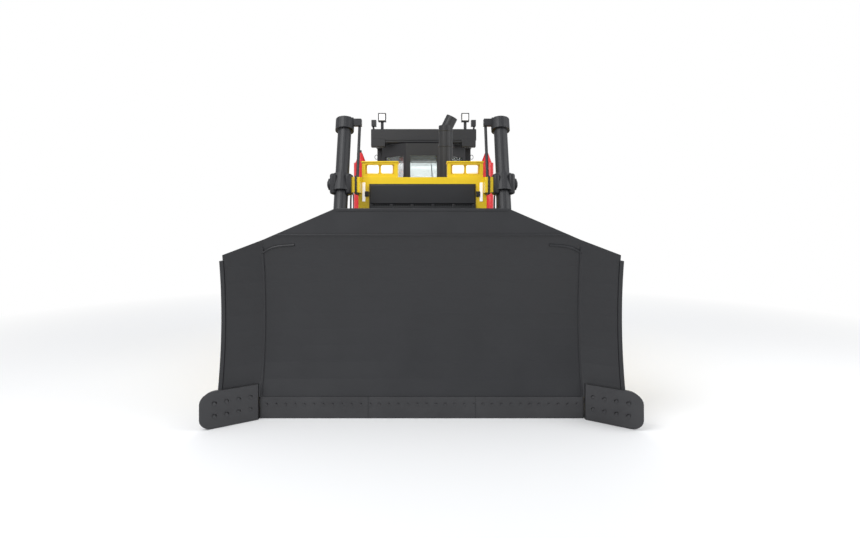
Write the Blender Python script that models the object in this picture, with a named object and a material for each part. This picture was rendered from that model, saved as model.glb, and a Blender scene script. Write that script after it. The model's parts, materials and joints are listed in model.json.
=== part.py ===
"""A large crawler bulldozer with a semi-U blade and a rear ripper. Metres, +Z up, the blade at -Y."""

import math

import bmesh
import bpy
from mathutils import Matrix, Vector

GAP = 0.0003  # between faces that touch
RUNNING_GAP = 0.012  # between pieces that move past each other

TRACK_GAUGE = 2.77
SHOE_WIDTH = 0.71
SHOE_PITCH = 0.318
SHOE_DEPTH = 0.09
GROUSER_HEIGHT = 0.08
TRACK_RADIUS = 0.66  # to the shoe plates
INNER_STEPS = 6  # points along each shoe's inner face
WHEELBASE = 4.5
HULL_WIDTH = 1.5
HULL_BOTTOM = 0.70
HULL_TOP = 1.75
HULL_FRONT = -2.55
HULL_REAR = 2.75

HOOD_WIDTH = 1.90
HOOD_TOP = 3.12
GUARD_FRONT = -2.75
GUARD_DEPTH = 0.45
HOOD_REAR = 0.35
PANEL = 0.05
ENGINE_SIZE = (1.1, 2.0, 1.15)

BLADE_WIDTH = 5.20
BLADE_BODY_WIDTH = 4.84  # without the end bits' outer corners
BLADE_CENTRE_WIDTH = 4.05
BLADE_HEIGHT = 2.30
BLADE_HOLLOW = 0.17  # how far the face bows back between its edges
EDGE_HEIGHT = 0.27
CORNER_HEIGHT = 2.05
CORNER_START = 1.83  # x where the top edge starts to fall
SPILL_HEIGHT = 0.32
SPILL_TOP = 1.09  # half of the spill guard's top edge
WING_FORWARD = 0.42
BLADE_Y = -4.15
PLATE = 0.09
WING_LAP = 0.03

PUSH_PIVOT = (0.30, 0.74)  # y, z
ARM_X = 2.00
ARM_WIDTH = 0.30
ARM_HEIGHT = 0.42

CYLINDER_X = 1.17
TRUNNION = (-2.95, 3.00)  # y, z
EYE_RADIUS = 0.09
BEAM_BACK = BLADE_Y + PLATE + 0.28
EYE_CLEARANCE = 0.06
EYE_HALF_WIDTH = 0.07
EAR = 0.04
ROD_EYE = (BEAM_BACK + EYE_RADIUS + EYE_CLEARANCE, 1.20)  # y, z
BARREL_RADIUS = 0.10
ROD_RADIUS = 0.055
BARREL_UP = 1.0
BARREL_DOWN = 0.75
BARREL_CAP = 0.07  # the closed end's wall inside the barrel
PISTON_REST = 0.11  # the rod's inner end, below the trunnion

CAB_WIDTH = 1.75
CAB_FRONT = 0.55
CAB_REAR = 2.15
CAB_FLOOR = 2.15
CAB_TOP = 4.06
NOSE = 0.36  # half of the cab's flat front
CORNER_DEPTH = 0.45
WALL = 0.06
DOOR_FRONT = 1.08
DOOR_REAR = 1.98
ROPS_WIDTH = 2.16
ROPS_TOP = 4.36
ROPS_FRONT = 0.70
FENDER_TOP = 2.10

RIPPER_PIVOT = (2.95, 1.15)  # y, z
SHANK_DEPTH = 0.28
BEAM_BEHIND = 0.15
END_BIT_THICK = 0.05  # at its inner end, in front of the wing
END_BIT_FRONT = 0.07  # at its outer end
END_BIT_HEIGHT = 0.44
END_BIT_HEEL = 0.10  # how far its foot goes back under the wing
CORNER_RADIUS = 0.13
WING_LEAN = WING_FORWARD / (BLADE_WIDTH / 2 - BLADE_CENTRE_WIDTH / 2)
OVERALL_FRONT = WING_FORWARD + WING_LEAN * WING_LAP + END_BIT_FRONT - BLADE_Y
RIPPER_REACH = OVERALL_FRONT - SHANK_DEPTH - BEAM_BEHIND - GAP - RIPPER_PIVOT[0]
KNUCKLE_RADIUS = 0.12

YELLOW = (0.90, 0.68, 0.0)
BLACK = (0.025, 0.026, 0.03)
STEEL = (0.16, 0.16, 0.17)
CHROME = (0.75, 0.75, 0.77)
RED = (0.65, 0.02, 0.03)

SIDES = (("right", -1), ("left", 1))


def collection(title, shown=True):
    made = bpy.data.collections.new(title)
    bpy.context.scene.collection.children.link(made)
    made.hide_render = not shown
    return made


def material(title, colour, roughness=0.5, metallic=0.0):
    made = bpy.data.materials.new(title)
    made.use_nodes = True
    shader = made.node_tree.nodes["Principled BSDF"]
    shader.inputs["Base Color"].default_value = (*colour, 1)
    shader.inputs["Roughness"].default_value = roughness
    shader.inputs["Metallic"].default_value = metallic
    return made


for old in list(bpy.data.objects):
    bpy.data.objects.remove(old, do_unlink=True)
PARTS = collection("bulldozer")
CUTTERS = collection("cutters", shown=False)


def add(name, mesh, home=None):
    made = bpy.data.objects.new(name, mesh)
    (home or PARTS).objects.link(made)
    return made


def finish(obj, colour, roughness=0.5, metallic=0.0):
    """Gives a piece its own material."""
    obj.data.materials.clear()
    obj.data.materials.append(material(obj.name, colour, roughness, metallic))
    return obj


def set_origin(obj, point):
    """Puts a moving piece's origin on its joint's axis, with its shape left in place."""
    obj.data.transform(Matrix.Translation(-Vector(point)))
    obj.location = point
    return obj


def from_bmesh(name, bm):
    mesh = bpy.data.meshes.new(name)
    bmesh.ops.recalc_face_normals(bm, faces=bm.faces)
    bm.to_mesh(mesh)
    bm.free()
    return add(name, mesh)


def box(name, x0, x1, y0, y1, z0, z1):
    bm = bmesh.new()
    bmesh.ops.create_cube(bm, size=1)
    bmesh.ops.scale(bm, vec=(x1 - x0, y1 - y0, z1 - z0), verts=bm.verts)
    bmesh.ops.translate(bm, vec=((x0 + x1) / 2, (y0 + y1) / 2, (z0 + z1) / 2), verts=bm.verts)
    return from_bmesh(name, bm)


def rod(name, start, end, radius, sides=24, far_radius=None):
    """A cylinder or cone from one point to another."""
    start, end = Vector(start), Vector(end)
    along = end - start
    bm = bmesh.new()
    bmesh.ops.create_cone(
        bm, cap_ends=True, segments=sides, radius1=radius,
        radius2=radius if far_radius is None else far_radius, depth=along.length,
    )
    for face in bm.faces:
        face.smooth = len(face.verts) == 4
    turn = along.to_track_quat("Z", "Y").to_matrix()
    bmesh.ops.rotate(bm, matrix=turn, verts=bm.verts)
    bmesh.ops.translate(bm, vec=(start + end) / 2, verts=bm.verts)
    return from_bmesh(name, bm)


def prism(name, outline, low, high, axis="X"):
    """A flat outline pushed from low to high along an axis: (y, z) for X, (x, z) for Y, (x, y) for Z."""
    place = {
        "X": lambda a, b, c: (c, a, b),
        "Y": lambda a, b, c: (a, c, b),
        "Z": lambda a, b, c: (a, b, c),
    }[axis]
    bm = bmesh.new()
    face = bm.faces.new([bm.verts.new(place(a, b, low)) for a, b in outline])
    pushed = bmesh.ops.extrude_face_region(bm, geom=[face])
    moved = [v for v in pushed["geom"] if isinstance(v, bmesh.types.BMVert)]
    bmesh.ops.translate(bm, vec=place(0, 0, high - low), verts=moved)
    return from_bmesh(name, bm)


def combine(obj, *others, operation="UNION"):
    """Joins or cuts a piece with helper shapes, which move to the cutters."""
    for other in others:
        step = obj.modifiers.new(other.name, "BOOLEAN")
        step.operation = operation
        step.solver = "EXACT"
        step.object = other
        PARTS.objects.unlink(other)
        CUTTERS.objects.link(other)
        other.hide_render = True
        other.display_type = "WIRE"
    return obj


def cut(obj, *others):
    return combine(obj, *others, operation="DIFFERENCE")


# Undercarriage


def loop_point(travel, radius):
    """A point on the track's oval, at this distance along the shoe plates, as (y, z)."""
    arc = math.pi * TRACK_RADIUS
    travel %= 2 * (WHEELBASE + arc)
    centre_z = TRACK_RADIUS + GROUSER_HEIGHT
    if travel < WHEELBASE:
        return travel - WHEELBASE / 2, centre_z - radius
    travel -= WHEELBASE
    if travel < arc:
        turn = travel / TRACK_RADIUS
        return WHEELBASE / 2 + radius * math.sin(turn), centre_z - radius * math.cos(turn)
    travel -= arc
    if travel < WHEELBASE:
        return WHEELBASE / 2 - travel, centre_z + radius
    turn = (travel - WHEELBASE) / TRACK_RADIUS
    return -WHEELBASE / 2 - radius * math.sin(turn), centre_z + radius * math.cos(turn)


def track(side, sign):
    length = 2 * (WHEELBASE + math.pi * TRACK_RADIUS)
    shoes = round(length / SHOE_PITCH)
    pitch = length / shoes
    steps = ((0.10, 0.0), (0.16, GROUSER_HEIGHT), (0.24, GROUSER_HEIGHT), (0.30, 0.0))  # share, height
    outer = [
        loop_point((shoe + share) * pitch, TRACK_RADIUS + height)
        for shoe in range(shoes)
        for share, height in steps
    ]
    inner = [
        loop_point(step * pitch / INNER_STEPS, TRACK_RADIUS - SHOE_DEPTH)
        for step in range(shoes * INNER_STEPS)
    ]
    middle = sign * TRACK_GAUGE / 2
    low, high = middle - SHOE_WIDTH / 2, middle + SHOE_WIDTH / 2
    belt = prism(f"track_{side}", outer, low, high)
    hole = prism(f"track_hole_{side}", inner, low - 0.1, high + 0.1)
    finish(cut(belt, hole), STEEL, 0.6, 0.7)


def undercarriage(side, sign):
    track(side, sign)
    middle = sign * TRACK_GAUGE / 2
    hub_z = TRACK_RADIUS + GROUSER_HEIGHT
    wheel = TRACK_RADIUS - SHOE_DEPTH - 3 * GAP
    inner_face = sign * HULL_WIDTH / 2
    for name, y, width in (("idler", -WHEELBASE / 2, 0.24), ("sprocket", WHEELBASE / 2, 0.20)):
        disc = rod(f"{name}_{side}", (middle - width / 2, y, hub_z), (middle + width / 2, y, hub_z), wheel, 40)
        finish(disc, STEEL, 0.5, 0.8)
    half = WHEELBASE / 2 - wheel - GAP
    bottom = hub_z - wheel
    beam = box(f"track_frame_{side}", middle - 0.24, middle + 0.24, -half, half, bottom + 0.14, hub_z + 0.22)
    pieces = []
    rollers = 7
    for number in range(rollers):
        y = -half + 0.2 + number * (2 * half - 0.4) / (rollers - 1)
        z = bottom + 0.13
        pieces.append(rod(f"roller_{side}_{number}", (middle - 0.2, y, z), (middle + 0.2, y, z), 0.125, 20))
    pivot_y, pivot_z = PUSH_PIVOT
    outward = sign * (ARM_X - ARM_WIDTH / 2)
    boss = rod(f"boss_{side}", (middle, pivot_y, pivot_z), (outward - sign * GAP, pivot_y, pivot_z), 0.17)
    finish(combine(beam, *pieces, boss), YELLOW, 0.45)
    inside = middle - sign * (0.24 + GAP)
    shaft = rod(f"pivot_shaft_{side}", (inner_face + sign * GAP, 1.1, 0.85), (inside, 1.1, 0.85), 0.12)
    finish(shaft, STEEL, 0.5, 0.6)
    drive_end = middle - sign * (0.10 + GAP)
    drive = rod(
        f"final_drive_{side}", (inner_face + sign * GAP, WHEELBASE / 2, hub_z + 0.06),
        (drive_end, WHEELBASE / 2, hub_z + 0.06), 0.42, 32,
    )
    finish(drive, YELLOW, 0.45)


def hull():
    half = HULL_WIDTH / 2
    frame = prism(
        "main_frame",
        [(HULL_FRONT, 1.0), (HULL_FRONT + 0.5, HULL_BOTTOM), (HULL_REAR - 0.2, HULL_BOTTOM),
         (HULL_REAR, HULL_BOTTOM + 0.2), (HULL_REAR, HULL_TOP), (HULL_FRONT, HULL_TOP)],
        -half, half,
    )
    finish(frame, YELLOW, 0.5)
    top = HULL_BOTTOM - GAP
    bar = box("equalizer_bar", -half, half, -1.75, -1.45, top - 0.18, top)
    ends = [
        rod(f"equalizer_end_{side}", (sign * (half - 0.1), -1.6, top - 0.09),
            (sign * (TRACK_GAUGE / 2 - 0.24 - GAP), -1.6, top - 0.09), 0.085)
        for side, sign in SIDES
    ]
    finish(combine(bar, *ends), STEEL, 0.5, 0.6)


# Blade


def face_y(z):
    """The blade's curved front face, bowed back at mid height."""
    middle = (EDGE_HEIGHT + BLADE_HEIGHT) / 2
    share = (z - middle) / (BLADE_HEIGHT - middle)
    return BLADE_Y + BLADE_HOLLOW * (1 - share * share)


def curved_plate(name, low, high, lean=0.0):
    """A length of the curved blade plate, from x low to high, leaning forward by this much per metre."""
    steps = 10
    heights = [EDGE_HEIGHT + step * (BLADE_HEIGHT - EDGE_HEIGHT) / steps for step in range(steps + 1)]
    front = [(face_y(z), z) for z in heights]
    back = [(face_y(z) + PLATE, z) for z in reversed(heights)]
    made = prism(name, front + back, low, high)
    for vertex in made.data.vertices:
        vertex.co.y -= lean * max(0, abs(vertex.co.x) - BLADE_CENTRE_WIDTH / 2 + WING_LAP)
    return made


def blade():
    body = BLADE_BODY_WIDTH / 2
    centre = BLADE_CENTRE_WIDTH / 2
    front = BLADE_Y
    tip = BLADE_Y - WING_FORWARD
    pivot = (0, *PUSH_PIVOT)
    plate = curved_plate("blade", -centre, centre)
    wings = [
        curved_plate(f"blade_wing_{side}", *sorted((sign * (centre - WING_LAP), sign * body)), WING_LEAN)
        for side, sign in SIDES
    ]
    corners = [
        prism(
            f"corner_cut_{side}",
            [(sign * (body + 0.1), CORNER_HEIGHT - 0.1 * (BLADE_HEIGHT - CORNER_HEIGHT) / (body - CORNER_START)),
             (sign * (body + 0.1), BLADE_HEIGHT + 0.1), (sign * CORNER_START, BLADE_HEIGHT + 0.1),
             (sign * CORNER_START, BLADE_HEIGHT + 0.0005)],
            tip - 0.2, front + 0.6, "Y",
        )
        for side, sign in SIDES
    ]
    beams = [
        box(f"blade_beam_{number}", -centre + 0.05, centre - 0.05, face_y(z + 0.13) + PLATE / 2, BEAM_BACK,
            z, z + 0.26)
        for number, z in enumerate((0.35, 1.05, 1.90))
    ]
    ribs = [
        box(f"blade_rib_{side}", sign * (ARM_X - 0.08) - 0.05, sign * (ARM_X - 0.08) + 0.05,
            front + BLADE_HOLLOW + PLATE / 2, BEAM_BACK, 0.30, 2.0)
        for side, sign in SIDES
    ]
    ears = [
        box(f"eye_ear_{side}_{number}", *sorted((x, x + turn * EAR)), BEAM_BACK - 0.05, ROD_EYE[0] + 0.08,
            ROD_EYE[1] - 0.12, ROD_EYE[1] + 0.10)
        for side, sign in SIDES
        for number, turn in enumerate((-1, 1))
        for x in [sign * CYLINDER_X + turn * (EYE_HALF_WIDTH + GAP)]
    ]
    cut(combine(plate, *wings, *beams, *ribs, *ears), *corners)
    set_origin(finish(plate, BLACK, 0.55, 0.2), pivot)
    top = BLADE_HEIGHT + GAP
    guard = prism(
        "spill_guard",
        [(-CORNER_START, top), (CORNER_START, top), (SPILL_TOP, top + SPILL_HEIGHT),
         (-SPILL_TOP, top + SPILL_HEIGHT)],
        front, front + 0.05, "Y",
    )
    set_origin(finish(guard, BLACK, 0.55, 0.2), pivot)
    edge = box("cutting_edge", RUNNING_GAP / 2 - centre, centre - RUNNING_GAP / 2, front - 0.02, front + 0.05, 0.0,
               EDGE_HEIGHT - GAP)
    set_origin(finish(edge, STEEL, 0.5, 0.7), pivot)
    for side, sign in SIDES:
        end_bit(side, sign)
        push_arm(side, sign)


def round_corner(name, corner_x, corner_z, sign, up):
    """A cutter that rounds one outer corner of an end bit, seen from the front."""
    middle_x = corner_x - sign * CORNER_RADIUS
    middle_z = corner_z - up * CORNER_RADIUS
    turns = [step * math.pi / 12 for step in range(7)]
    arc = [
        (middle_x + sign * CORNER_RADIUS * math.sin(turn), middle_z + up * CORNER_RADIUS * math.cos(turn))
        for turn in turns
    ]
    beyond = [(corner_x + sign * 0.1, middle_z), (corner_x + sign * 0.1, corner_z + up * 0.1),
              (middle_x, corner_z + up * 0.1)]
    return prism(name, arc + beyond, BLADE_Y - 1.0, BLADE_Y + 0.5, "Y")


def end_bit(side, sign):
    """A wear plate on the wing's foot: its lower part also reaches back under the wing."""
    inner = BLADE_CENTRE_WIDTH / 2 + RUNNING_GAP / 2
    outer = BLADE_WIDTH / 2
    inner_y, outer_y = (
        BLADE_Y - WING_LEAN * (x - BLADE_CENTRE_WIDTH / 2 + WING_LAP) for x in (inner, outer)
    )
    front = [(sign * inner, inner_y - END_BIT_THICK), (sign * outer, outer_y - END_BIT_FRONT)]
    heel = [(sign * outer, outer_y + END_BIT_HEEL), (sign * inner, inner_y + END_BIT_HEEL)]
    face = [(sign * outer, outer_y - GAP), (sign * inner, inner_y - GAP)]
    bit = prism(f"end_bit_{side}", front + heel, 0.0, EDGE_HEIGHT - GAP, "Z")
    upper = prism(f"end_bit_upper_{side}", front + face, 0.05, END_BIT_HEIGHT, "Z")
    corners = [
        round_corner(f"end_bit_foot_{side}", sign * outer, 0.0, sign, -1),
        round_corner(f"end_bit_top_{side}", sign * outer, END_BIT_HEIGHT, sign, 1),
    ]
    cut(combine(bit, upper), *corners)
    set_origin(finish(bit, STEEL, 0.5, 0.7), (0, *PUSH_PIVOT))


def push_arm(side, sign):
    pivot_y, pivot_z = PUSH_PIVOT
    low, high = sign * ARM_X - ARM_WIDTH / 2, sign * ARM_X + ARM_WIDTH / 2
    start = BEAM_BACK + GAP
    outline = [
        (start, 0.36), (pivot_y - 0.2, pivot_z - ARM_HEIGHT / 2), (pivot_y + 0.22, pivot_z - ARM_HEIGHT / 2),
        (pivot_y + 0.30, pivot_z), (pivot_y + 0.22, pivot_z + ARM_HEIGHT / 2),
        (pivot_y - 0.2, pivot_z + ARM_HEIGHT / 2), (start, 0.80),
    ]
    arm = finish(prism(f"push_arm_{side}", outline, low, high), YELLOW, 0.45)
    set_origin(arm, (0, *PUSH_PIVOT))


def lift_cylinder(side, sign):
    top_y, top_z = TRUNNION
    eye_y, eye_z = ROD_EYE
    pivot = Vector((sign * CYLINDER_X, top_y, top_z))
    eye = Vector((sign * CYLINDER_X, eye_y, eye_z))
    down = (eye - pivot).normalized()
    barrel = rod(f"lift_barrel_{side}", pivot - down * BARREL_UP, pivot + down * BARREL_DOWN, BARREL_RADIUS, 28)
    head = rod(f"lift_head_{side}", pivot - down * (BARREL_UP + 0.06), pivot - down * (BARREL_UP - 0.12), 0.14)
    band = rod(f"lift_band_{side}", pivot - down * 0.13, pivot + down * 0.13, 0.15)
    bore = rod(f"lift_bore_{side}", pivot - down * (BARREL_UP - BARREL_CAP), pivot + down * 2, ROD_RADIUS + 2 * GAP)
    cut(combine(barrel, head, band), bore)
    set_origin(finish(barrel, BLACK, 0.45, 0.3), pivot)
    inner = rod(f"lift_rod_{side}", pivot + down * PISTON_REST, eye, ROD_RADIUS, 20)
    knuckle = rod(f"lift_eye_{side}", eye - Vector((EYE_HALF_WIDTH, 0, 0)), eye + Vector((EYE_HALF_WIDTH, 0, 0)), EYE_RADIUS)
    set_origin(finish(combine(inner, knuckle), CHROME, 0.2, 1.0), eye)


# Body above the hull


def radiator_guard():
    half = HOOD_WIDTH / 2
    low = HULL_TOP + GAP
    frame = box("radiator_guard", -half, half, GUARD_FRONT, GUARD_FRONT + GUARD_DEPTH, low, HOOD_TOP)
    hole = box("guard_hole", -half + 0.16, half - 0.16, GUARD_FRONT - 0.1, GUARD_FRONT + GUARD_DEPTH + 0.1,
               low + 0.12, HOOD_TOP - 0.10)
    arms = [
        box(f"yoke_{side}", min(sign * (half - 0.05), sign * (CYLINDER_X - 0.155)),
            max(sign * (half - 0.05), sign * (CYLINDER_X - 0.155)), TRUNNION[0] - 0.10, GUARD_FRONT + 0.2,
            TRUNNION[1] - 0.12, TRUNNION[1] + 0.10)
        for side, sign in SIDES
    ]
    finish(cut(combine(frame, *arms), hole), YELLOW, 0.4)
    clear = GAP
    grille = box("grille_door", -half + 0.16 + clear, half - 0.16 - clear, GUARD_FRONT, GUARD_FRONT + 0.08,
                 low + 0.12 + clear, HOOD_TOP - 0.10 - clear)
    finish(grille, BLACK, 0.5)
    core = box("radiator", -half + 0.16 + GAP, half - 0.16 - GAP, GUARD_FRONT + 0.2,
               GUARD_FRONT + GUARD_DEPTH - 0.02, low + 0.12 + GAP, HOOD_TOP - 0.10 - GAP)
    finish(core, BLACK, 0.7)


def hood():
    half = HOOD_WIDTH / 2
    front = GUARD_FRONT + GUARD_DEPTH + GAP
    low = HULL_TOP + GAP
    roof = box("hood", -half, half, front, HOOD_REAR, HOOD_TOP - PANEL, HOOD_TOP)
    firewall = box("hood_rear_wall", -half, half, HOOD_REAR - PANEL, HOOD_REAR, low, HOOD_TOP - 0.01)
    finish(combine(roof, firewall), YELLOW, 0.4)
    for side, sign in SIDES:
        outer, inner = sign * half, sign * (half - PANEL)
        rear = HOOD_REAR - PANEL - GAP
        middle = (front + rear) / 2
        leaves = (("front", front + GAP, middle - RUNNING_GAP / 2), ("rear", middle + RUNNING_GAP / 2, rear))
        for leaf, start, end in leaves:
            door = box(f"engine_door_{leaf}_{side}", min(outer, inner), max(outer, inner), start, end,
                       low + 0.02, HOOD_TOP - PANEL - RUNNING_GAP)
            finish(door, YELLOW, 0.4)
            set_origin(door, (outer, start if leaf == "front" else end, low))
        lamp_box(side, sign)
    width, length, height = ENGINE_SIZE
    engine = box("engine", -width / 2, width / 2, -1.9, -1.9 + length, low, low + height)
    finish(engine, STEEL, 0.6, 0.4)
    base = HOOD_TOP + GAP
    stack = rod("exhaust_stack", (0.39, -1.25, base), (0.39, -1.25, 4.12), 0.12, 28)
    tip = rod("stack_tip", (0.39, -1.25, 4.05), (0.50, -1.25, 4.27), 0.10, 24)
    finish(combine(stack, tip), BLACK, 0.6, 0.3)


def lamp_box(side, sign):
    base = HOOD_TOP + GAP
    xs = sorted((sign * 0.37, sign * 0.90))
    shell = box(f"headlamp_box_{side}", *xs, GUARD_FRONT + 0.02, GUARD_FRONT + 0.30, base, base + 0.23)
    pocket = box(f"lamp_pocket_{side}", xs[0] + 0.05, xs[1] - 0.05, GUARD_FRONT - 0.1, GUARD_FRONT + 0.08,
                 base + 0.05, base + 0.19)
    finish(cut(shell, pocket), YELLOW, 0.4)


def fenders():
    for side, sign in SIDES:
        inner, outer = sign * (HULL_WIDTH / 2 + GAP), sign * (TRACK_GAUGE + SHOE_WIDTH) / 2
        deck = box(f"fender_{side}", min(inner, outer), max(inner, outer), 0.40, 2.70, 1.52, FENDER_TOP)
        finish(deck, YELLOW, 0.45)
        x = sign * 1.28
        bottle = rod(f"fire_bottle_{side}", (x, 0.60, FENDER_TOP + GAP), (x, 0.60, 3.66), 0.14)
        neck = rod(f"bottle_neck_{side}", (x, 0.60, 3.61), (x, 0.60, 3.87), 0.13, 24, 0.03)
        finish(combine(bottle, neck), RED, 0.35)


def cab_plan(wall):
    """The cab's outline seen from above, with its front corners cut back, moved in by this much."""
    half = CAB_WIDTH / 2 - wall
    front, rear = CAB_FRONT + wall, CAB_REAR - wall
    nose = NOSE - wall * 0.4
    return [(-half, rear), (-half, front + CORNER_DEPTH - wall * 0.4), (-nose, front),
            (nose, front), (half, front + CORNER_DEPTH - wall * 0.4), (half, rear)]


def cab():
    half = CAB_WIDTH / 2
    floor = prism("cab_floor", cab_plan(0), HULL_TOP + GAP, CAB_FLOOR, "Z")
    sides_cut = [
        box(f"floor_notch_{side}", *sorted((sign * (HULL_WIDTH / 2 - 0.001), sign * (half + 0.1))),
            CAB_FRONT - 0.1, CAB_REAR + 0.1, HULL_TOP - 0.1, FENDER_TOP + GAP)
        for side, sign in SIDES
    ]
    finish(cut(floor, *sides_cut), BLACK, 0.6)
    low = CAB_FLOOR + GAP
    shell = prism("cab", cab_plan(0), low, CAB_TOP, "Z")
    room = prism("cab_room", cab_plan(WALL), low - 0.1, CAB_TOP - WALL, "Z")
    sill, head = low + 0.35, CAB_TOP - 0.25
    windows = [
        box("front_window", -NOSE + 0.09, NOSE - 0.09, CAB_FRONT - 0.1, CAB_FRONT + 0.1, sill, head),
        box("rear_window", -half + 0.15, half - 0.15, CAB_REAR - 0.1, CAB_REAR + 0.1, low + 0.6, head),
        box("door_holes", -half - 0.1, half + 0.1, DOOR_FRONT, DOOR_REAR, low + 0.08, CAB_TOP - 0.2),
    ]
    across = Vector((half - NOSE, CORNER_DEPTH)).normalized()
    out = Vector((across.y, -across.x))
    for side, sign in SIDES:
        near = Vector((NOSE, CAB_FRONT)) + across * 0.07
        far = Vector((half, CAB_FRONT + CORNER_DEPTH)) - across * 0.09
        ring = [near + out * 0.1, far + out * 0.1, far - out * 0.1, near - out * 0.1]
        windows.append(prism(f"corner_window_{side}", [(sign * p.x, p.y) for p in ring], sill, head, "Z"))
    finish(cut(shell, room, *windows), BLACK, 0.5)
    for side, sign in SIDES:
        outer, inner = sign * half, sign * (half - WALL)
        front, rear = DOOR_FRONT + RUNNING_GAP, DOOR_REAR - GAP
        base, top = low + 0.08 + RUNNING_GAP, CAB_TOP - 0.2 - RUNNING_GAP
        door = box(f"cab_door_{side}", min(outer, inner), max(outer, inner), front, rear, base, top)
        view = box(f"door_window_{side}", -half - 0.2, half + 0.2, front + 0.1, rear - 0.1, base + 0.6, top - 0.1)
        set_origin(finish(cut(door, view), BLACK, 0.5), (outer, rear, base))
    seat = box("seat", -0.28, 0.28, 1.15, 1.68, low, low + 0.50)
    back = box("seat_back", -0.26, 0.26, 1.58, 1.74, low + 0.3, low + 1.15)
    finish(combine(seat, back), BLACK, 0.8)


def rops():
    half = ROPS_WIDTH / 2
    roof = box("rops", -half, half, ROPS_FRONT, 2.65, ROPS_TOP - 0.22, ROPS_TOP)
    posts = [
        box(f"rops_post_{side}", *sorted((sign * half, sign * (half - 0.20))), 2.30, 2.60,
            FENDER_TOP + GAP, ROPS_TOP - 0.1)
        for side, sign in SIDES
    ]
    finish(combine(roof, *posts), BLACK, 0.5)
    for side, sign in SIDES:
        x, y = sign * 0.86, ROPS_FRONT + 0.15
        stem = rod(f"work_lamp_{side}", (x, y, ROPS_TOP + GAP), (x, y, ROPS_TOP + 0.24), 0.03, 12)
        head = box(f"work_lamp_head_{side}", x - 0.08, x + 0.08, y - 0.08, y + 0.07, ROPS_TOP + 0.18, ROPS_TOP + 0.35)
        finish(combine(stem, head), BLACK, 0.5)


# Ripper


def ripper():
    pivot_y, pivot_z = RIPPER_PIVOT
    bracket = box("ripper_bracket", -0.65, 0.65, HULL_REAR + GAP,
                  pivot_y - KNUCKLE_RADIUS - GAP, 0.95, 1.85)
    finish(bracket, YELLOW, 0.45)
    start = pivot_y
    end = pivot_y + RIPPER_REACH
    frame = box("ripper_frame", -0.55, 0.55, start, end, pivot_z - 0.12, pivot_z + 0.12)
    opening = box("ripper_frame_hole", -0.35, 0.35, start + 0.2, end - 0.3, pivot_z - 0.3, pivot_z + 0.3)
    knuckle = rod("ripper_knuckle", (-0.55, pivot_y, pivot_z), (0.55, pivot_y, pivot_z), KNUCKLE_RADIUS, 32)
    beam = box("ripper_beam", -1.1, 1.1, end - 0.25, end + BEAM_BEHIND, pivot_z - 0.20, pivot_z + 0.25)
    set_origin(finish(cut(combine(frame, beam, knuckle), opening), YELLOW, 0.45), (0, *RIPPER_PIVOT))
    back = end + BEAM_BEHIND + GAP
    outline = [
        (back, 1.75), (back, 0.75), (back - 0.10, 0.45), (back - 0.30, 0.30), (back - 0.24, 0.22),
        (back + 0.02, 0.28), (back + SHANK_DEPTH - 0.02, 0.55), (back + SHANK_DEPTH, 1.75),
    ]
    shank = finish(prism("ripper_shank", outline, -0.06, 0.06), STEEL, 0.5, 0.7)
    set_origin(shank, (0, *RIPPER_PIVOT))


hull()
for SIDE, SIGN in SIDES:
    undercarriage(SIDE, SIGN)
    lift_cylinder(SIDE, SIGN)
blade()
radiator_guard()
hood()
fenders()
cab()
rops()
ripper()
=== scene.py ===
"""The bulldozer's looks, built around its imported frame. Metres, +Z up, the blade at -Y."""

import json
import math

import bmesh
import bpy
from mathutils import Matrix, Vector


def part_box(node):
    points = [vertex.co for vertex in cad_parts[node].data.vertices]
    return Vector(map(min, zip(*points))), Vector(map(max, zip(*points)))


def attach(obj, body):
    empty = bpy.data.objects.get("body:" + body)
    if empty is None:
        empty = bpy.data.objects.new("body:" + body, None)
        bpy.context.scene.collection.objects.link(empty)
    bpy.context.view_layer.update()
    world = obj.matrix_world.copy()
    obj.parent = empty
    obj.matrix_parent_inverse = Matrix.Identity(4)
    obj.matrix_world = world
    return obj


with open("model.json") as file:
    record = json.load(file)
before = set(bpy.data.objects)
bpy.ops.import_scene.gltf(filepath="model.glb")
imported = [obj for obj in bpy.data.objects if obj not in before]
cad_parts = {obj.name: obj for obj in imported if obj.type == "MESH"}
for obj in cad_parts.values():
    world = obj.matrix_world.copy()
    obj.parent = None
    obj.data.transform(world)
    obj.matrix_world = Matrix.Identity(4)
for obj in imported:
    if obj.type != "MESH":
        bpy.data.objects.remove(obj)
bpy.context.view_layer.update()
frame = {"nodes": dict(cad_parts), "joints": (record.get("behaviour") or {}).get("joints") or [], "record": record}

SIDES = (("right", -1), ("left", 1))
YELLOW = (0.90, 0.62, 0.0)
BLACK = (0.0125, 0.013, 0.0155)
STEEL = (0.055, 0.055, 0.058)
WHITE = (0.9, 0.9, 0.88)


# Camera, floor and lights

CAMERA_PLACE = (0.06, -11.75, 2.44)
LENS_MM = 25.4
SHIFT = (0.004, -0.0535)
FLOOR_NEAR, FLOOR_FAR = 6.0, 12.0  # where the floor starts and ends its fade to white


def camera():
    data = bpy.data.cameras.new("camera")
    data.lens = LENS_MM
    data.shift_x, data.shift_y = SHIFT
    made = bpy.data.objects.new("camera", data)
    made.location = CAMERA_PLACE
    made.rotation_euler = (math.pi / 2, 0, 0)
    bpy.context.collection.objects.link(made)
    bpy.context.scene.camera = made


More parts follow.
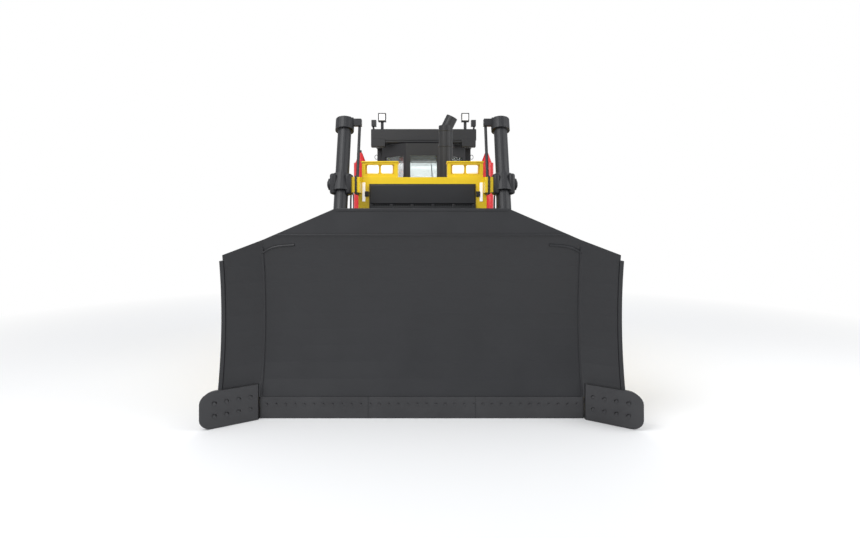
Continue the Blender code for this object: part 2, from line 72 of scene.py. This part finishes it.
def camera_white(tree, shader_out, target):
    """What the camera and glass see is white, and the rest sees the shader given."""
    path = tree.nodes.new("ShaderNodeLightPath")
    either = tree.nodes.new("ShaderNodeMath")
    either.operation = "MAXIMUM"
    tree.links.new(path.outputs["Is Camera Ray"], either.inputs[0])
    tree.links.new(path.outputs["Is Transmission Ray"], either.inputs[1])
    white = tree.nodes.new("ShaderNodeBackground" if target.node.type == "OUTPUT_WORLD" else "ShaderNodeEmission")
    white.inputs["Color"].default_value = (1, 1, 1, 1)
    white.inputs["Strength"].default_value = 1.0
    mix = tree.nodes.new("ShaderNodeMixShader")
    tree.links.new(either.outputs[0], mix.inputs[0])
    tree.links.new(shader_out, mix.inputs[1])
    tree.links.new(white.outputs[0], mix.inputs[2])
    tree.links.new(mix.outputs[0], target)


def fade_far_floor(tree):
    """The floor turns to the backdrop's white with distance from the machine."""
    place = tree.nodes.new("ShaderNodeTexCoord")
    length = tree.nodes.new("ShaderNodeVectorMath")
    length.operation = "LENGTH"
    tree.links.new(place.outputs["Object"], length.inputs[0])
    share = tree.nodes.new("ShaderNodeMapRange")
    share.inputs["From Min"].default_value = FLOOR_NEAR
    share.inputs["From Max"].default_value = FLOOR_FAR
    tree.links.new(length.outputs["Value"], share.inputs["Value"])
    white = tree.nodes.new("ShaderNodeEmission")
    mix = tree.nodes.new("ShaderNodeMixShader")
    tree.links.new(share.outputs[0], mix.inputs[0])
    tree.links.new(tree.nodes["Principled BSDF"].outputs[0], mix.inputs[1])
    tree.links.new(white.outputs[0], mix.inputs[2])
    tree.links.new(mix.outputs[0], tree.nodes["Material Output"].inputs[0])


def surroundings():
    world = bpy.data.worlds.new("studio")
    world.use_nodes = True
    bpy.context.scene.world = world
    ground = world.node_tree.nodes["Background"]
    ground.inputs["Color"].default_value = (0.85, 0.87, 0.9, 1)
    ground.inputs["Strength"].default_value = 0.75
    camera_white(world.node_tree, ground.outputs[0], world.node_tree.nodes["World Output"].inputs[0])
    bpy.ops.mesh.primitive_plane_add(size=160, location=(0, 0, -0.001))
    floor = bpy.context.object
    floor.name = "floor"
    floor.data.materials.append(material("floor", (0.93, 0.93, 0.93), 0.6, grain=0))
    fade_far_floor(floor.active_material.node_tree)
    lamps = (
        ("key", (-5, -9, 9), 7, 650),
        ("fill", (8, -6, 6), 6, 300),
        ("back", (0, 10, 8), 8, 500),
    )  # name, place, size in metres, watts
    for name, place, size, watts in lamps:
        data = bpy.data.lights.new(name, "AREA")
        data.size = size
        data.energy = watts
        lamp = bpy.data.objects.new(name, data)
        lamp.location = place
        lamp.rotation_euler = (Vector((0, -1, 1.5)) - Vector(place)).to_track_quat("-Z", "Y").to_euler()
        bpy.context.collection.objects.link(lamp)


# Materials


def material(name, colour, roughness, metallic=0.0, grain=0.3, dust=0.0, coat=0.0):
    """Paint or metal: fine orange peel in the bump, uneven gloss, and dust that lightens random blotches."""
    made = bpy.data.materials.new(name)
    made.use_nodes = True
    tree = made.node_tree
    shader = tree.nodes["Principled BSDF"]
    shader.inputs["Base Color"].default_value = (*colour, 1)
    shader.inputs["Roughness"].default_value = roughness
    shader.inputs["Metallic"].default_value = metallic
    shader.inputs["Coat Weight"].default_value = coat
    if not grain:
        return made
    place = tree.nodes.new("ShaderNodeTexCoord")

    def noise(scale, detail):
        found = tree.nodes.new("ShaderNodeTexNoise")
        found.inputs["Scale"].default_value = scale
        found.inputs["Detail"].default_value = detail
        tree.links.new(place.outputs["Object"], found.inputs["Vector"])
        return found.outputs["Fac"]

    blotches = noise(2.2, 6)
    gloss = tree.nodes.new("ShaderNodeMapRange")
    gloss.inputs["To Min"].default_value = max(0.05, roughness - 0.12)
    gloss.inputs["To Max"].default_value = min(1, roughness + 0.14)
    tree.links.new(blotches, gloss.inputs["Value"])
    tree.links.new(gloss.outputs[0], shader.inputs["Roughness"])
    tint = tree.nodes.new("ShaderNodeMix")
    tint.data_type = "RGBA"
    tint.inputs["A"].default_value = (*(c * 0.82 for c in colour), 1)
    tint.inputs["B"].default_value = (*(min(1, c * 1.12 + dust) for c in colour), 1)
    tree.links.new(blotches, tint.inputs["Factor"])
    tree.links.new(tint.outputs["Result"], shader.inputs["Base Color"])
    bump = tree.nodes.new("ShaderNodeBump")
    bump.inputs["Strength"].default_value = grain
    bump.inputs["Distance"].default_value = 0.002
    tree.links.new(noise(140, 3), bump.inputs["Height"])
    tree.links.new(bump.outputs[0], shader.inputs["Normal"])
    return made


def glass():
    made = material("cab_glass", (0.55, 0.62, 0.62), 0.03, grain=0)
    shader = made.node_tree.nodes["Principled BSDF"]
    shader.inputs["Transmission Weight"].default_value = 0.85
    shader.inputs["Alpha"].default_value = 0.55
    return made


def lens():
    made = material("lamp_lens_and_painted_reflector_glow", WHITE, 0.15, grain=0)
    shader = made.node_tree.nodes["Principled BSDF"]
    # The emission is lamp light on the lamp lenses and a painted glow on the white side reflector strips, which
    # give no light of their own.
    shader.inputs["Emission Color"].default_value = (1, 1, 1, 1)
    shader.inputs["Emission Strength"].default_value = 0.35
    return made


camera()
surroundings()
LOOKS = {
    "yellow": material("yellow_paint", YELLOW, 0.34, coat=0.2),
    "black": material("black_paint", BLACK, 0.46, dust=0.004),
    "steel": material("worn_steel", STEEL, 0.45, 0.75, grain=0.6, dust=0.02),
    "chrome": material("chrome", (0.8, 0.8, 0.82), 0.12, 1.0, grain=0.05),
    "red": material("red_paint", (0.70, 0.015, 0.02), 0.3, coat=0.3),
    "seat": material("seat_vinyl", (0.02, 0.02, 0.022), 0.7, grain=0.9),
}
LENS = lens()
GLASS = glass()

for entry in frame["record"]["subparts"]:
    node = frame["nodes"][entry["node"]]
    node.data.materials.clear()
    node.data.materials.append(LOOKS[entry["material_slot"]])


# Shapes


class Piece:
    """One joined mesh, filled by the calls below and finished by done()."""

    def __init__(self, name):
        self.name = name
        self.bm = bmesh.new()

    def box(self, low, high):
        size = [abs(b - a) for a, b in zip(low, high)]
        made = bmesh.ops.create_cube(self.bm, size=1)["verts"]
        bmesh.ops.scale(self.bm, vec=size, verts=made)
        bmesh.ops.translate(self.bm, vec=[(a + b) / 2 for a, b in zip(low, high)], verts=made)
        return self

    def rod(self, start, end, radius, sides=16, far=None):
        start, end = Vector(start), Vector(end)
        made = bmesh.ops.create_cone(
            self.bm, cap_ends=True, segments=sides, radius1=radius,
            radius2=radius if far is None else far, depth=(end - start).length,
        )["verts"]
        bmesh.ops.rotate(self.bm, matrix=(end - start).to_track_quat("Z", "Y").to_matrix(), verts=made)
        bmesh.ops.translate(self.bm, vec=(start + end) / 2, verts=made)
        return self

    def done(self, body, look, bevel=0.006, slot=True):
        mesh = bpy.data.meshes.new(self.name)
        self.bm.to_mesh(mesh)
        self.bm.free()
        made = bpy.data.objects.new(self.name, mesh)
        bpy.context.collection.objects.link(made)
        mesh.materials.append(LOOKS.get(look, look))
        if bevel:
            edges = made.modifiers.new("edges", "BEVEL")
            edges.width = bevel
            edges.segments = 2
            edges.limit_method = "ANGLE"
        mesh.shade_smooth()
        mesh.set_sharp_from_angle(angle=math.radians(35))
        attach(made, body)
        return made


def strip(name, points, wide, deep, body, look, bevel=0.006):
    """A bar of rectangular section swept along points: wide along X, deep along Y."""
    bm = bmesh.new()
    rings = [
        [bm.verts.new((x + a * wide / 2, y + b * deep / 2, z)) for a, b in ((-1, -1), (1, -1), (1, 1), (-1, 1))]
        for x, y, z in points
    ]
    bm.faces.new(rings[0])
    bm.faces.new(reversed(rings[-1]))
    for ring, after in zip(rings, rings[1:]):
        for step in range(4):
            bm.faces.new((ring[step], after[step], after[step - 3], ring[step - 3]))
    bmesh.ops.recalc_face_normals(bm, faces=bm.faces)
    piece = Piece(name)
    piece.bm.free()
    piece.bm = bm
    return piece.done(body, look, bevel)


def tube(name, points, radius, body, look, cyclic=False):
    data = bpy.data.curves.new(name, "CURVE")
    data.dimensions = "3D"
    data.bevel_depth = radius
    data.bevel_resolution = 3
    data.use_fill_caps = True
    spline = data.splines.new("BEZIER")
    spline.bezier_points.add(len(points) - 1)
    spline.use_cyclic_u = cyclic
    for point, place in zip(spline.bezier_points, points):
        point.co = place
        point.handle_left_type = point.handle_right_type = "AUTO"
    made = bpy.data.objects.new(name, data)
    bpy.context.collection.objects.link(made)
    data.materials.append(LOOKS.get(look, look))
    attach(made, body)
    return made


# The front: grille, lamps and lift cylinders


def grille():
    low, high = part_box("grille_door")
    face = low[1]
    split = high[2] - 0.30
    name_panel = Piece("nose_panel")
    name_panel.box((low[0] + 0.01, face - 0.035, split), (high[0] - 0.01, face - 0.001, high[2] - 0.01))
    name_panel.done("chassis", "black", 0.015)
    mesh = Piece("grille_mesh")
    base = low[2] + 0.03
    rows = 26
    for step in range(rows):
        z = base + step * (split - base - 0.02) / rows
        mesh.box((low[0] + 0.02, face - 0.012, z), (high[0] - 0.02, face - 0.001, z + 0.010))
    columns = 44
    for step in range(columns + 1):
        x = low[0] + 0.025 + step * (high[0] - low[0] - 0.05) / columns
        mesh.box((x - 0.004, face - 0.018, base), (x + 0.004, face - 0.010, split))
    mesh.done("chassis", "steel", 0)
    dividers = Piece("grille_dividers")
    for z in (split - 0.07, split - 0.42, split - 0.78):
        dividers.box((low[0] + 0.01, face - 0.045, z), (high[0] - 0.01, face - 0.012, z + 0.035))
    for step in range(6):
        x = low[0] + 0.03 + step * (high[0] - low[0] - 0.06) / 5
        dividers.box((x - 0.020, face - 0.050, base - 0.01), (x + 0.020, face - 0.012, split))
    dividers.done("chassis", "black", 0.006)
    catches = Piece("grille_catches")
    for side, sign in SIDES:
        for z in (low[2] + 0.25, high[2] - 0.15):
            x = sign * (high[0] + 0.035)
            catches.box((x - 0.03, face - 0.02, z - 0.04), (x + 0.03, face + 0.002, z + 0.04))
    catches.done("chassis", "black", 0.006)


def headlamps():
    for side, sign in SIDES:
        low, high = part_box(f"headlamp_box_{side}")
        lamps = Piece(f"headlamp_lenses_{side}")
        middle = (low[0] + high[0]) / 2
        for step in (-1, 1):
            x = middle + step * 0.105
            lamps.box((x - 0.088, low[1] + 0.012, low[2] + 0.055), (x + 0.088, low[1] + 0.055, high[2] - 0.045))
        lamps.done("chassis", LENS, 0.02)
        rim = Piece(f"headlamp_rim_{side}")
        rim.box((low[0] - 0.012, low[1] - 0.02, high[2] - 0.012), (high[0] + 0.012, high[1], high[2] + 0.008))
        rim.done("chassis", "yellow", 0.004)
        # Painted glow: the white reflective strip takes the emissive lens material, so it shines though it is a
        # reflector and no lamp.
        strip = Piece(f"side_reflector_painted_glow_{side}")
        guard_low, guard_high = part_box("radiator_guard")
        x = sign * 0.87
        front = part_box("grille_door")[0][1]
        strip.box((x - 0.022, front - 0.008, 2.76), (x + 0.022, front - 0.001, 3.04))
        strip.done("chassis", LENS, 0.003)


def lift_cylinders():
    for side, sign in SIDES:
        body = f"lift_barrel_{side}"
        low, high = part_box(f"lift_barrel_{side}")
        top_y, top_z = high[1] - 0.13, high[2]
        x = sign * (abs(low[0] + high[0]) / 2)
        lean = Vector(next(j for j in frame["joints"] if j["name"] == f"lift_stroke_{side}")["axis"])
        top = Vector((x, top_y, top_z - 0.07))
        manifold = Piece(f"cylinder_manifold_{side}")
        inner = x - sign * 0.25
        manifold.box((min(x, inner), top_y - 0.06, top_z - 0.14), (max(x, inner), top_y + 0.06, top_z - 0.03))
        for turn in range(8):
            angle = turn * math.tau / 8
            at = top + Vector((0.115 * math.cos(angle), 0.115 * math.sin(angle), 0))
            manifold.rod(at, at + Vector((0, 0, 0.065)), 0.016, 6)
        manifold.done(body, "black", 0.008)
        start = Vector((inner + sign * 0.03, top_y, top_z - 0.12))
        route = [start, start + lean * 0.18, start + lean * 0.5, start + lean * 0.95]
        tube(f"cylinder_pipe_{side}", route, 0.022, body, "black")
        trunnion = Piece(f"trunnion_cap_{side}")
        hinge = next(j for j in frame["joints"] if j["name"] == f"lift_swing_{side}")["pos_m"]
        centre = Vector(hinge)
        outward = Vector((sign, 0, 0))
        trunnion.rod(centre + outward * 0.10, centre + outward * 0.19, 0.085, 24)
        trunnion.rod(centre + outward * 0.19, centre + outward * 0.205, 0.055, 6)
        trunnion.done(body, "black", 0.006)
        casting = Piece(f"trunnion_block_{side}")
        for turn in (-1, 1):
            near, far = sorted((centre[0] + turn * 0.065, centre[0] + turn * 0.155))
            casting.box((near, centre[1] - 0.145, centre[2] - 0.15), (far, centre[1] + 0.145, centre[2] + 0.15))
        casting.done(body, "black", 0.03)
        bracket = Piece(f"trunnion_yoke_{side}")
        bracket.box((min(sign * 0.94, sign * 0.97), centre[1] - 0.12, centre[2] - 0.15),
                    (max(sign * 0.94, sign * 0.97), centre[1] + 0.30, centre[2] + 0.12))
        bracket.done("chassis", "black", 0.01)


# The blade

WING_FORWARD = 0.42
WING_OUTER = 2.60
HOLLOW = 0.17


def face_y(z):
    """The blade's curved front face at this height."""
    edge_low, edge_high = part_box("cutting_edge")
    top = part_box("spill_guard")[0][2]
    middle = (edge_high[2] + top) / 2
    share = (z - middle) / (top - middle)
    return edge_low[1] + 0.02 + HOLLOW * (1 - share * share)


def blade():
    body = "blade_assembly"
    low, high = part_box("blade")
    edge_low, edge_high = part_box("cutting_edge")
    front = edge_low[1]
    bolts = Piece("edge_bolts")
    count = 34
    for step in range(count):
        x = edge_low[0] + 0.08 + step * (edge_high[0] - edge_low[0] - 0.16) / (count - 1)
        bolts.rod((x, front - 0.012, 0.175), (x, front + 0.01, 0.175), 0.016, 8)
    bolts.done(body, "steel", 0)
    seams = Piece("edge_joints")
    for x in (-0.67, 0.67):
        seams.box((x - 0.004, front - 0.003, 0.0), (x + 0.004, front + 0.01, edge_high[2]))
    seams.done(body, "black", 0)
    face = front + 0.02
    lip = Piece("blade_top_lip")
    spill_low, spill_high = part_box("spill_guard")
    lip.box((spill_low[0], face - 0.014, spill_low[2] - 0.02), (spill_high[0], face + 0.01, spill_low[2]))
    lip.box((-1.08, face - 0.010, spill_high[2] - 0.03), (1.08, face + 0.055, spill_high[2] + 0.004))
    lip.done(body, "black", 0.004)
    centre = abs(edge_high[0]) + 0.006
    body_half = high[0]
    lean = WING_FORWARD / (WING_OUTER - centre)
    for side, sign in SIDES:
        heights = [edge_high[2] + 0.01 + step * (2.12 - edge_high[2]) / 14 for step in range(15)]
        strip(f"corner_rib_{side}", [(sign * centre, face_y(z) - 0.004, z) for z in heights], 0.055, 0.03, body, "black")
        gusset = [(sign * (centre - 0.42), face_y(2.16) - 0.004, 2.165), (sign * (centre - 0.15), face_y(2.12) - 0.008, 2.13),
                  (sign * centre, face_y(2.05) - 0.010, 2.06)]
        tube(f"corner_weld_{side}", gusset, 0.016, body, "black")
        edge_heights = [edge_high[2] + step * (1.98 - edge_high[2]) / 14 for step in range(15)]
        path = [
            (sign * (body_half + 0.012), face_y(z) - lean * (body_half - centre) + 0.035, z) for z in edge_heights
        ]
        strip(f"wing_edge_{side}", path, 0.05, 0.17, body, "black", 0.008)
        wear = Piece(f"end_bit_bolts_{side}")
        bit_low, bit_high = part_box(f"end_bit_{side}")
        outer = max(abs(bit_low[0]), abs(bit_high[0]))
        for share in (0.14, 0.34, 0.54, 0.74):
            x = centre + share * (outer - centre)
            y = face - 0.022 + share * (bit_low[1] - face) - 0.05 * (1 - share)
            for z in (0.15, 0.30):
                wear.rod((sign * x, y - 0.012, z), (sign * x, y + 0.04, z), 0.02, 8)
        wear.done(body, "steel", 0)
        brace = Piece(f"blade_brace_{side}")
        arm_low, arm_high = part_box(f"push_arm_{side}")
        x = (arm_low[0] + arm_high[0]) / 2
        brace.rod((x, arm_low[1] + 0.02, 1.80), (x, arm_low[1] + 1.75, arm_low[2] + 0.42), 0.07, 20)
        brace.rod((x, arm_low[1] + 0.6, 1.40), (x, arm_low[1] + 1.3, 0.99), 0.10, 20)
        brace.done(body, "black", 0.006)


# The tracks


def running_gear():
    for side, sign in SIDES:
        low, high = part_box(f"track_{side}")
        middle = (low[0] + high[0]) / 2
        for name, teeth in (("sprocket", 27), ("idler", 0)):
            wheel_low, wheel_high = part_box(f"{name}_{side}")
            centre = [(a + b) / 2 for a, b in zip(wheel_low, wheel_high)]
            radius = (wheel_high[2] - wheel_low[2]) / 2
            hub = Piece(f"{name}_hub_{side}")
            outer = wheel_high[0] if sign > 0 else wheel_low[0]
            hub.rod((outer, centre[1], centre[2]), (outer + sign * 0.10, centre[1], centre[2]), radius * 0.55, 32)
            hub.rod((outer + sign * 0.10, centre[1], centre[2]),
                    (outer + sign * 0.16, centre[1], centre[2]), radius * 0.30, 28)
            for step in range(12):
                angle = step * math.tau / 12
                y, z = centre[1] + radius * 0.45 * math.cos(angle), centre[2] + radius * 0.45 * math.sin(angle)
                hub.rod((outer + sign * 0.09, y, z), (outer + sign * 0.13, y, z), 0.022, 6)
            hub.done("chassis", "yellow", 0.006)
            if not teeth:
                continue
            ring = Piece(f"sprocket_bolts_{side}")
            for step in range(teeth):
                angle = step * math.tau / teeth
                y, z = centre[1] + radius * 0.86 * math.cos(angle), centre[2] + radius * 0.86 * math.sin(angle)
                ring.rod((outer, y, z), (outer + sign * 0.03, y, z), 0.022, 6)
            ring.done("chassis", "steel", 0)
        links = Piece(f"track_links_{side}")
        wrap = (high[2] - low[2]) / 2 - 0.17
        straight = (high[1] - low[1]) / 2 - wrap - 0.17
        face = sign * max(abs(low[0]), abs(high[0]))
        mid_z = (low[2] + high[2]) / 2
        around = 2 * math.pi * wrap + 4 * straight
        count = 42
        for step in range(count):
            travel = step * around / count
            if travel < 2 * straight:
                y, z = travel - straight, mid_z - wrap
            elif travel < 2 * straight + math.pi * wrap:
                turn = (travel - 2 * straight) / wrap
                y, z = straight + wrap * math.sin(turn), mid_z - wrap * math.cos(turn)
            elif travel < 4 * straight + math.pi * wrap:
                y, z = 3 * straight + math.pi * wrap - travel, mid_z + wrap
            else:
                turn = (travel - 4 * straight - math.pi * wrap) / wrap
                y, z = -straight - wrap * math.sin(turn), mid_z + wrap * math.cos(turn)
            links.rod((face - sign * 0.01, y, z), (face + sign * 0.008, y, z), 0.028, 12)
        links.done("chassis", "steel", 0)
        frame_low, frame_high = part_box(f"track_frame_{side}")
        face = middle + sign * 0.24
        guards = Piece(f"roller_guard_{side}")
        guards.box((min(face, face + sign * 0.02), frame_low[1] + 0.1, frame_low[2] + 0.14),
                   (max(face, face + sign * 0.02), frame_high[1] - 0.1, frame_low[2] + 0.34))
        for step in range(9):
            y = frame_low[1] + 0.25 + step * (frame_high[1] - frame_low[1] - 0.5) / 8
            guards.rod((face, y, frame_low[2] + 0.24), (face + sign * 0.04, y, frame_low[2] + 0.24), 0.03, 6)
        guards.done("chassis", "yellow", 0.005)
        carriers = Piece(f"carrier_rollers_{side}")
        for y in (-0.9, 0.9):
            carriers.rod((middle - 0.18, y, 1.17), (middle + 0.18, y, 1.17), 0.11, 24)
            carriers.box((middle - 0.05, y - 0.06, 0.95), (middle + 0.05, y + 0.06, 1.10))
        carriers.done("chassis", "steel", 0.005)


# Hood, fenders, cab and roof


def hood():
    for side, sign in SIDES:
        for leaf in ("front", "rear"):
            door = f"engine_door_{leaf}_{side}"
            low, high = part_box(door)
            face = high[0] if sign > 0 else low[0]
            louvres = Piece(f"door_louvres_{leaf}_{side}")
            for step in range(11):
                z = low[2] + 0.35 + step * 0.05
                louvres.box((min(face, face + sign * 0.014), low[1] + 0.25, z),
                            (max(face, face + sign * 0.014), high[1] - 0.25, z + 0.022))
            louvres.done(door, "yellow", 0.004)
            latch = Piece(f"door_latch_{leaf}_{side}")
            y = high[1] - 0.09 if leaf == "front" else low[1] + 0.05
            latch.box((min(face, face + sign * 0.03), y, high[2] - 0.7), (max(face, face + sign * 0.03), y + 0.04, high[2] - 0.5))
            latch.done(door, "black", 0.006)
        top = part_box("hood")[1][2]
        x = sign * 0.86
        rail = [(x, -1.9, top), (x, -1.88, top + 0.10), (x, -0.1, top + 0.10), (x, -0.08, top)]
        tube(f"hood_rail_{side}", rail, 0.016, "chassis", "black")
    low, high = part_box("exhaust_stack")
    trim = Piece("stack_bands")
    for z in (3.20, 3.75, 4.02):
        trim.rod((0.39, -1.25, z), (0.39, -1.25, z + 0.035), 0.128, 32)
    trim.done("chassis", "black", 0.004)


def fenders():
    for side, sign in SIDES:
        low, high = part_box(f"fender_{side}")
        face = high[0] if sign > 0 else low[0]
        treads = Piece(f"fender_tread_{side}")
        for row in range(16):
            y = low[1] + 0.10 + row * 0.15
            for column in range(2):
                x = sign * (1.50 + column * 0.12)
                treads.box((x - 0.04, y, high[2] - 0.001), (x + 0.04, y + 0.03, high[2] + 0.006))
        treads.done("chassis", "black", 0.002)
        steps = Piece(f"side_steps_{side}")
        steps.box((min(face, face + sign * 0.06), 0.55, high[2] - 0.36), (max(face, face + sign * 0.06), 1.05, high[2] - 0.32))
        steps.done("chassis", "black", 0.004)
        x = sign * 1.66
        rail = [(x, 2.05, high[2]), (x, 2.05, high[2] + 0.95), (x, 2.12, high[2] + 1.0), (x, 2.48, high[2] + 1.0),
                (x, 2.55, high[2] + 0.95), (x, 2.55, high[2])]
        tube(f"deck_rail_{side}", rail, 0.02, "chassis", "black")
        bottle_low, bottle_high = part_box(f"fire_bottle_{side}")
        middle = [(a + b) / 2 for a, b in zip(bottle_low, bottle_high)]
        bands = Piece(f"bottle_bands_{side}")
        for z in (2.45, 3.25):
            bands.rod((middle[0], middle[1], z), (middle[0], middle[1], z + 0.04), 0.146, 32)
        bands.rod((middle[0], middle[1], bottle_high[2]), (middle[0], middle[1], bottle_high[2] + 0.05), 0.02, 12)
        bands.done("chassis", "black", 0.003)


NOSE = 0.36
CORNER_DEPTH = 0.45


def cab():
    low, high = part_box("cab")
    front = low[1]
    half = high[0]
    across = Vector((half - NOSE, CORNER_DEPTH)).normalized()
    out = Vector((across.y, -across.x))
    panes = Piece("front_glass")
    panes.box((-NOSE + 0.085, front + 0.02, low[2] + 0.34), (NOSE - 0.085, front + 0.03, high[2] - 0.24))
    panes.done("chassis", GLASS, 0, slot=False)
    for side, sign in SIDES:
        near = Vector((NOSE, front)) + across * 0.065 - out * 0.025
        far = Vector((half, front + CORNER_DEPTH)) - across * 0.085 - out * 0.025
        pane = bmesh.new()
        ring = [near, far, far - out * 0.008, near - out * 0.008]
        verts = [pane.verts.new((sign * p.x, p.y, low[2] + 0.34)) for p in ring]
        face = pane.faces.new(verts)
        lifted = bmesh.ops.extrude_face_region(pane, geom=[face])["geom"]
        lifted = [v for v in lifted if isinstance(v, bmesh.types.BMVert)]
        bmesh.ops.translate(pane, vec=(0, 0, high[2] - 0.24 - low[2] - 0.34), verts=lifted)
        bmesh.ops.recalc_face_normals(pane, faces=pane.faces)
        corner = Piece(f"corner_glass_{side}")
        corner.bm.free()
        corner.bm = pane
        corner.done("chassis", GLASS, 0, slot=False)
    rear = Piece("rear_glass")
    rear.box((-0.73, high[1] - 0.03, low[2] + 0.59), (0.73, high[1] - 0.02, high[2] - 0.24))
    rear.done("chassis", GLASS, 0, slot=False)
    for side, sign in SIDES:
        door_low, door_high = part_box(f"cab_door_{side}")
        face = door_high[0] if sign > 0 else door_low[0]
        pane = Piece(f"door_glass_{side}")
        pane.box((min(face - sign * 0.03, face - sign * 0.02), door_low[1] + 0.09, door_low[2] + 0.59),
                 (max(face - sign * 0.03, face - sign * 0.02), door_high[1] - 0.09, door_high[2] - 0.09))
        pane.done(f"cab_door_{side}", GLASS, 0, slot=False)
        grip = Piece(f"door_handle_{side}")
        grip.box((min(face, face + sign * 0.04), door_low[1] + 0.03, door_low[2] + 0.45),
                 (max(face, face + sign * 0.04), door_low[1] + 0.06, door_low[2] + 0.62))
        grip.done(f"cab_door_{side}", "black", 0.006)
    controls = Piece("cab_controls")
    controls.box((-0.30, 0.66, low[2] + 0.26), (0.30, 0.78, low[2] + 0.42))
    for sign in (-1, 1):
        controls.box((sign * 0.42 - 0.09, 1.15, low[2]), (sign * 0.42 + 0.09, 1.60, low[2] + 0.62))
        controls.rod((sign * 0.42, 1.20, low[2] + 0.60), (sign * 0.42, 1.17, low[2] + 0.85), 0.018, 12)
    controls.done("chassis", "black", 0.01)
    tube("wiper", [(0.16, front - 0.015, low[2] + 0.32), (0.19, front - 0.02, low[2] + 0.8),
                   (0.16, front - 0.015, high[2] - 0.45)], 0.009, "chassis", "black")


def roof():
    low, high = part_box("rops")
    rim = Piece("roof_edges")
    rim.box((low[0] + 0.004, low[1] + 0.002, high[2] - 0.02), (high[0] - 0.004, high[1] - 0.002, high[2] + 0.01))
    for sign in (-1, 1):
        rim.box((sign * 0.93 - 0.15, low[1] - 0.004, high[2] - 0.36), (sign * 0.93 + 0.14, low[1] + 0.16, high[2] - 0.19))
    rim.box((low[0] + 0.02, low[1] + 0.02, high[2] - 0.27), (high[0] - 0.02, low[1] + 0.10, high[2] - 0.19))
    rim.done("chassis", "black", 0.012)
    for side, sign in SIDES:
        lamp_low, lamp_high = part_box(f"work_lamp_{side}")
        glow = Piece(f"work_lamp_lens_{side}")
        middle = (lamp_low[0] + lamp_high[0]) / 2
        y = (lamp_low[1] + lamp_high[1]) / 2
        glow.box((middle - 0.060, lamp_low[1] - 0.006, lamp_high[2] - 0.15), (middle + 0.060, lamp_low[1] + 0.002, lamp_high[2] - 0.02))
        glow.done("chassis", LENS, 0.004)
        outer = Piece(f"outer_lamp_{side}")
        x = sign * (high[0] - 0.05)
        outer.rod((x, y, high[2] - 0.01), (x + sign * 0.02, y, high[2] + 0.10), 0.02, 12)
        outer.box((x - 0.05, y - 0.07, high[2] + 0.08), (x + 0.05, y + 0.06, high[2] + 0.21))
        outer.done("chassis", "black", 0.01)
        ring_z = high[2] - 0.38
        ring = [(sign * (high[0] + 0.035) + 0.035 * math.cos(turn * math.pi / 2), 2.45,
                 ring_z + 0.05 * math.sin(turn * math.pi / 2)) for turn in range(4)]
        tube(f"roof_ring_{side}", ring, 0.006, "chassis", "black", cyclic=True)


# The ripper


def ripper():
    low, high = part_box("ripper_shank")
    pocket = Piece("shank_pocket")
    for sign in (-1, 1):
        pocket.box((sign * 0.08 - 0.015, low[1] + 0.28, 0.95), (sign * 0.08 + 0.015, high[1] + 0.01, 1.42))
    for z in (1.05, 1.30):
        pocket.rod((-0.13, high[1] - 0.14, z), (0.13, high[1] - 0.14, z), 0.035, 20)
    pocket.done("ripper", "yellow", 0.006)
    pins = Piece("ripper_pins")
    for sign in (-1, 1):
        pins.rod((sign * 0.55, 2.95, 1.15), (sign * 0.60, 2.95, 1.15), 0.07, 24)
    pins.done("ripper", "steel", 0.005)
    rear_low, rear_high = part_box("ripper_bracket")
    lamps = Piece("rear_lamp_plate")
    lamps.box((-0.50, rear_high[1] - 0.30, rear_high[2] + 0.002), (0.50, rear_high[1] - 0.02, rear_high[2] + 0.03))
    lamps.done("chassis", "black", 0.006)


grille()
headlamps()
lift_cylinders()
blade()
running_gear()
hood()
fenders()
cab()
roof()
ripper()

bpy.context.scene.view_settings.view_transform = "Standard"
